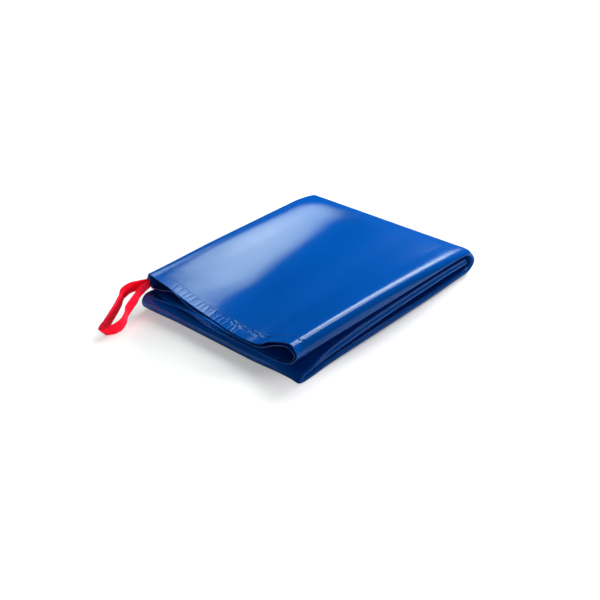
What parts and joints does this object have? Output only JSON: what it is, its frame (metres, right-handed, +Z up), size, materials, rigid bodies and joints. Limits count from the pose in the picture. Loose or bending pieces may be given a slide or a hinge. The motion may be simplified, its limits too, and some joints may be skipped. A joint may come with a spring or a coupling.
{
  "type": "folded ground sheet with hanging loop",
  "caption": "Folded blue coated-fabric ground sheet with hemmed, stitched edges and a red webbing loop at one corner.",
  "frame": {"origin": "on the ground, under the middle of the folded pack without its loop", "axes": "+X along the strip from the open hemmed end to the back turn, +Y across it towards the free edges, +Z up"},
  "size_m": [0.6038, 0.4415, 0.0833],
  "materials": {
    "coated_sheet": "glossy coated polyester fabric",
    "sewing_thread": "polyester sewing thread",
    "red_webbing": "woven polyester webbing",
    "red_thread": "polyester sewing thread"
  },
  "bodies": {
    "lower": {"bottom_outer_wrap": "coated_sheet", "nose_outer_wrap": "coated_sheet", "middle_outer_wrap": "coated_sheet", "bottom_outer_margin_hem": "coated_sheet", "middle_outer_margin_hem": "coated_sheet", "middle_outer_end_hem": "coated_sheet", "back_turn_outer_wrap": "coated_sheet", "bottom_inner_wrap": "coated_sheet", "nose_inner_wrap": "coated_sheet", "middle_inner_wrap": "coated_sheet", "bottom_inner_margin_hem": "coated_sheet", "middle_inner_margin_hem": "coated_sheet", "middle_inner_end_hem": "coated_sheet", "back_turn_inner_wrap": "coated_sheet", "middle_end_seam": "sewing_thread"},
    "upper": {"top_cover_ply": "coated_sheet", "top_side_fold": "coated_sheet", "top_under_ply": "coated_sheet", "top_inner_wrap": "coated_sheet", "top_outer_end_hem": "coated_sheet", "top_inner_end_hem": "coated_sheet", "top_end_seam": "sewing_thread", "top_outer_margin_hem": "coated_sheet", "loop_tail": "red_webbing", "loop_box_stitch": "red_thread"},
    "loop": {"webbing_loop": "red_webbing"}
  },
  "joints": [
    {"name": "top_unfold", "type": "hinge", "parent": "lower", "child": "upper", "pos_m": [0.235, 0, 0.0285], "axis": [0, 1, 0], "range_deg": [0, 175], "deforming": ["back_turn_outer_wrap", "back_turn_inner_wrap"]},
    {"name": "loop_swing", "type": "hinge", "parent": "upper", "child": "loop", "pos_m": [-0.225, 0.2229, 0.049], "axis": [0, 0, -1], "range_deg": [-4, 90]}
  ]
}
